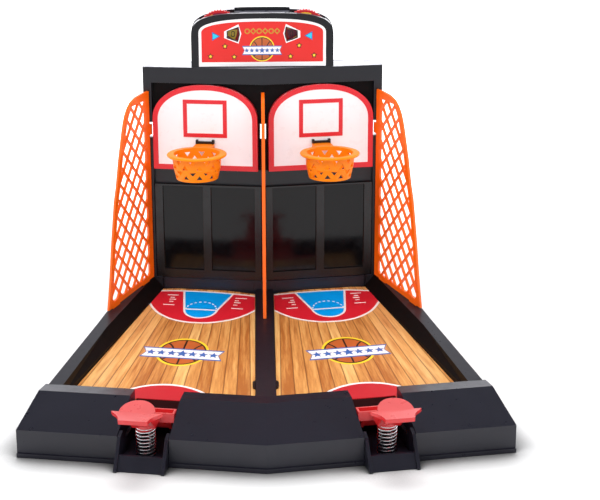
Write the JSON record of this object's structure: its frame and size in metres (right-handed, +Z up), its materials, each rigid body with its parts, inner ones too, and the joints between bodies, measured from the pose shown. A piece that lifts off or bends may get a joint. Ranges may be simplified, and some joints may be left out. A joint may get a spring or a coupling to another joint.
{
  "type": "tabletop basketball shooting game",
  "caption": "Tabletop basketball game with two sloping lanes, sprung finger launchers, basket hoops on arched boards, mesh side nets and turning score dials.",
  "frame": {"origin": "centre of the footprint's bounding box, on the table top", "axes": "+X to the right of a player facing the game, +Y from the player towards the rear tower, +Z up"},
  "size_m": [0.28, 0.2302, 0.2271],
  "materials": {
    "black_plastic": "satin black ABS",
    "gloss_black": "polished black styrene",
    "foot_rubber": "matt rubber pad",
    "steel": "zinc plated steel",
    "spring_wire": "bright drawn spring wire",
    "lever_red": "gloss red ABS",
    "court_sheet": "printed board with wood plank pattern, satin varnish",
    "trim_red": "printed red film",
    "board_white": "white styrene",
    "hoop_orange": "gloss orange polypropylene",
    "net_orange": "gloss orange polypropylene",
    "dial_red": "gloss red ABS",
    "label_red": "printed paper label"
  },
  "bodies": {
    "game": {"front_console": "black_plastic", "base_plate": "black_plastic", "rubber_feet": "foot_rubber", "base_screws": "steel", "side_rail_left": "black_plastic", "side_rail_right": "black_plastic", "centre_beam": "black_plastic", "court_deck_left": "black_plastic", "court_deck_right": "black_plastic", "court_print_left": "court_sheet", "court_print_right": "court_sheet", "launcher_cradle_left": "black_plastic", "launcher_cradle_right": "black_plastic", "launcher_pin_left": "steel", "launcher_pin_right": "steel", "launcher_spring_left": "spring_wire", "launcher_spring_right": "spring_wire", "rear_tower": "black_plastic", "rear_cover": "black_plastic", "cover_screws": "steel", "rear_sill": "black_plastic", "backstop_left": "gloss_black", "backstop_right": "gloss_black", "backboard_left": "board_white", "backboard_right": "board_white", "board_trim_left": "trim_red", "board_trim_right": "trim_red", "hoop_left": "hoop_orange", "hoop_right": "hoop_orange", "hoop_clip_left": "black_plastic", "hoop_clip_right": "black_plastic", "side_net_left": "net_orange", "side_net_right": "net_orange", "centre_net": "net_orange", "sign_front": "black_plastic", "sign_rear": "black_plastic", "sign_label": "label_red", "sign_screws": "steel", "dial_axle_left": "steel", "dial_axle_right": "steel"},
    "lever_left": {"launcher_lever_left": "lever_red"},
    "lever_right": {"launcher_lever_right": "lever_red"},
    "dial_left": {"score_dial_left": "dial_red"},
    "dial_right": {"score_dial_right": "dial_red"}
  },
  "joints": [
    {"name": "launch_left", "type": "hinge", "parent": "game", "child": "lever_left", "pos_m": [-0.06099, -0.0517, 0.0085], "axis": [0.9863, -0.165, 0], "range_deg": [0, 13], "stiffness_Nm_per_rad": 0.6, "deforming": ["launcher_spring_left"]},
    {"name": "launch_right", "type": "hinge", "parent": "game", "child": "lever_right", "pos_m": [0.06099, -0.0517, 0.0085], "axis": [0.9863, 0.165, 0], "range_deg": [0, 13], "stiffness_Nm_per_rad": 0.6, "deforming": ["launcher_spring_right"]},
    {"name": "score_left", "type": "hinge", "parent": "game", "child": "dial_left", "pos_m": [-0.0276, 0.09548, 0.2136], "axis": [0, 1, 0], "continuous": true},
    {"name": "score_right", "type": "hinge", "parent": "game", "child": "dial_right", "pos_m": [0.0276, 0.09548, 0.2136], "axis": [0, 1, 0], "continuous": true}
  ]
}
